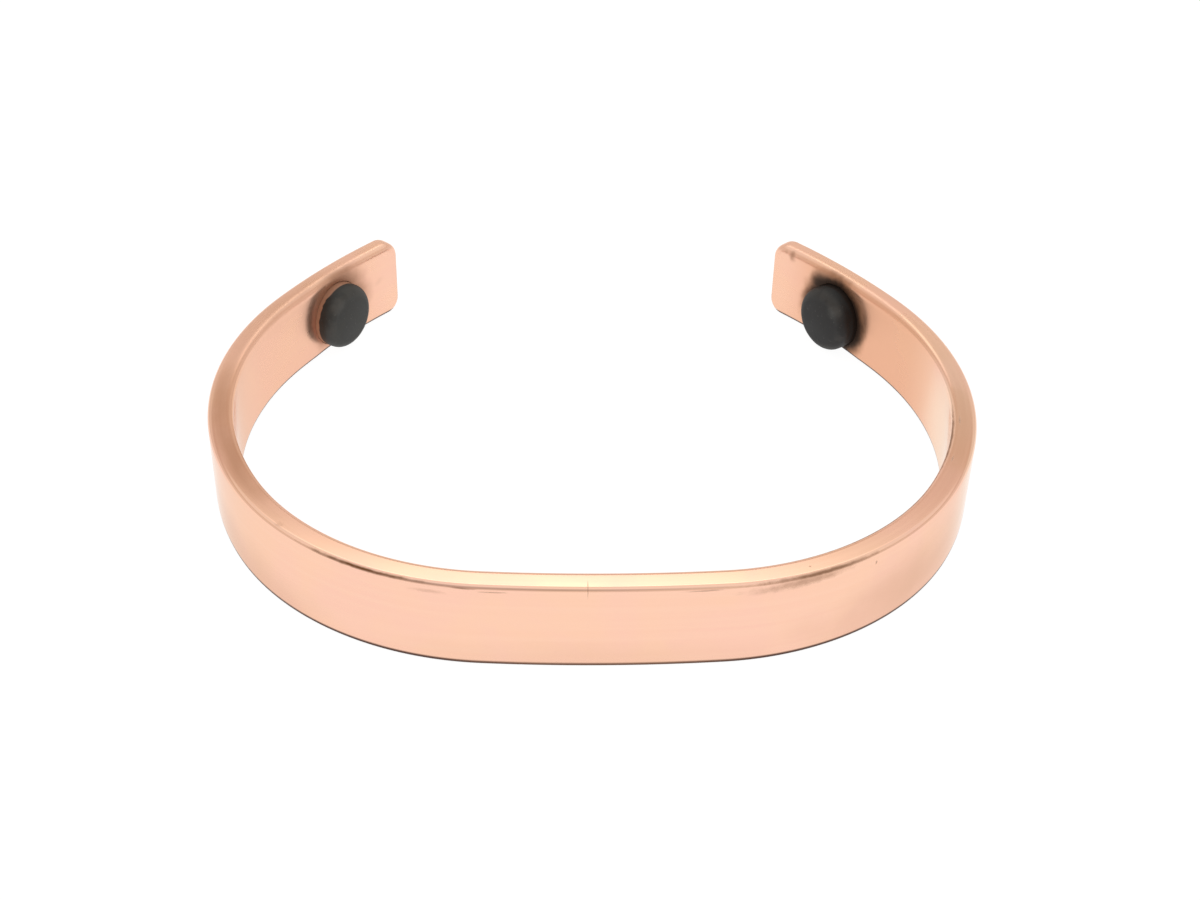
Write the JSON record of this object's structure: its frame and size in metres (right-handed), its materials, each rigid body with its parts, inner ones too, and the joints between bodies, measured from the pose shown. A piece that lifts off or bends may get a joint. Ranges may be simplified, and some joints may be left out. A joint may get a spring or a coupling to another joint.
{
  "type": "magnetic cuff bracelet",
  "caption": "Open copper cuff bracelet, a flat strip bent into an oval, with a round magnet seated inside each tip.",
  "frame": {"origin": "middle of the base of the whole cuff, as it lies on its long edge", "axes": "+Z across the band, which is up as the cuff lies; +X to the right along the oval's long way; the closed front faces -Y and the gap between the tips faces +Y"},
  "size_m": [0.064, 0.0528, 0.0075],
  "materials": {
    "copper": "polished copper with a faint grain along the band",
    "magnet": "matt black ferrite with a soft sheen"
  },
  "bodies": {
    "root": {"cuff_band": "copper", "magnet_left": "magnet", "magnet_right": "magnet"}
  },
  "joints": []
}
